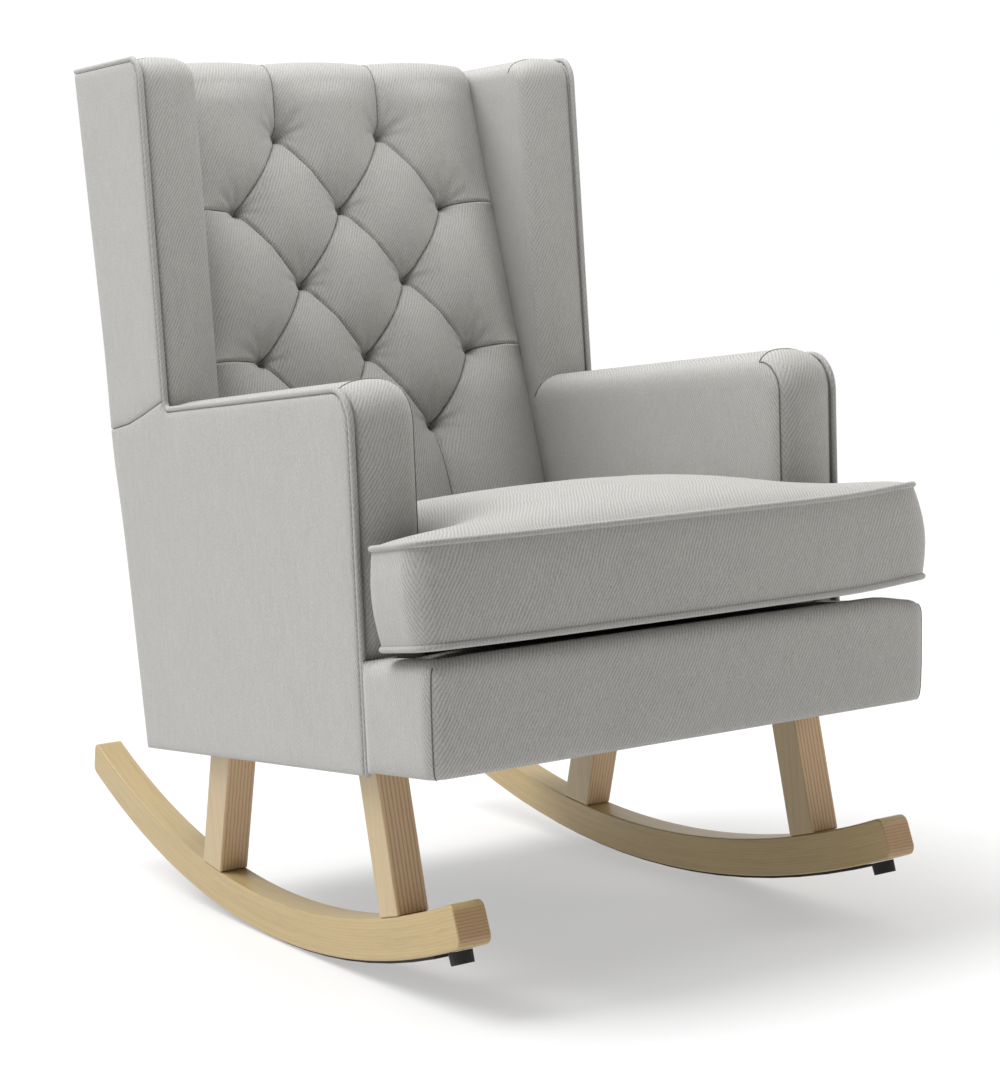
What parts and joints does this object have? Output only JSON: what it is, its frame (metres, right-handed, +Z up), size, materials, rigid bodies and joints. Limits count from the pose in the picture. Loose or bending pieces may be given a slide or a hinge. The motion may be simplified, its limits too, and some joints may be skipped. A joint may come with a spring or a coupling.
{
  "type": "rocking chair",
  "caption": "High wing-backed upholstered chair with diamond-tufted back and loose T seat cushion, on straight splayed legs and a pair of bent wooden rockers.",
  "frame": {"origin": "on the floor below the middle of the bounding box, with the chair at rest on its rockers", "axes": "+Z up, front of the chair towards -Y, +X to the right of someone who faces the chair"},
  "size_m": [0.6238, 1.1548, 1.0666],
  "materials": {
    "grey_twill": "woven",
    "welt_fabric": "woven",
    "button_fabric": "woven",
    "deck_cloth": "matte",
    "black_lining": "matte",
    "spring_steel": "satin",
    "black_rubber": "matte",
    "pale_birch": "satin",
    "frame_wood": "matte"
  },
  "bodies": {
    "chair": {"back_top_cap": "grey_twill", "back_top_rail": "frame_wood", "dust_cover": "black_lining", "front_apron": "grey_twill", "front_seat_rail": "frame_wood", "left_arm_band": "grey_twill", "left_arm_post": "frame_wood", "left_arm_rail": "frame_wood", "left_back_post": "frame_wood", "left_front_leg": "pale_birch", "left_inner_arm_pad": "grey_twill", "left_outer_arm_panel": "grey_twill", "left_outer_wing_panel": "grey_twill", "left_rear_leg": "pale_birch", "left_rocker": "pale_birch", "left_rocker_grip_strip": "black_rubber", "left_rocker_stop": "black_rubber", "left_side_seat_rail": "frame_wood", "left_side_welt": "welt_fabric", "left_wing_pad": "grey_twill", "outside_back_panel": "grey_twill", "rear_seat_rail": "frame_wood", "right_arm_band": "grey_twill", "right_arm_post": "frame_wood", "right_arm_rail": "frame_wood", "right_back_post": "frame_wood", "right_front_leg": "pale_birch", "right_inner_arm_pad": "grey_twill", "right_outer_arm_panel": "grey_twill", "right_outer_wing_panel": "grey_twill", "right_rear_leg": "pale_birch", "right_rocker": "pale_birch", "right_rocker_grip_strip": "black_rubber", "right_rocker_stop": "black_rubber", "right_side_seat_rail": "frame_wood", "right_side_welt": "welt_fabric", "right_wing_pad": "grey_twill", "seat_deck": "deck_cloth", "seat_spring_1": "spring_steel", "seat_spring_2": "spring_steel", "seat_spring_3": "spring_steel", "seat_spring_4": "spring_steel", "tuft_button_row1_1": "button_fabric", "tuft_button_row1_2": "button_fabric", "tuft_button_row2_1": "button_fabric", "tuft_button_row2_2": "button_fabric", "tuft_button_row2_3": "button_fabric", "tuft_button_row3_1": "button_fabric", "tuft_button_row3_2": "button_fabric", "tuft_button_row4_1": "button_fabric", "tuft_button_row4_2": "button_fabric", "tuft_button_row4_3": "button_fabric", "tuft_button_row5_1": "button_fabric", "tuft_button_row5_2": "button_fabric", "tufted_back_pad": "grey_twill"},
    "cushion": {"seat_cushion": "grey_twill", "cushion_top_welt": "welt_fabric", "cushion_bottom_welt": "welt_fabric"}
  },
  "joints": [
    {"name": "seat_cushion_lift", "type": "slide", "parent": "chair", "child": "cushion", "axis": [0, 0, 1], "range_m": [0, 0.25]}
  ]
}
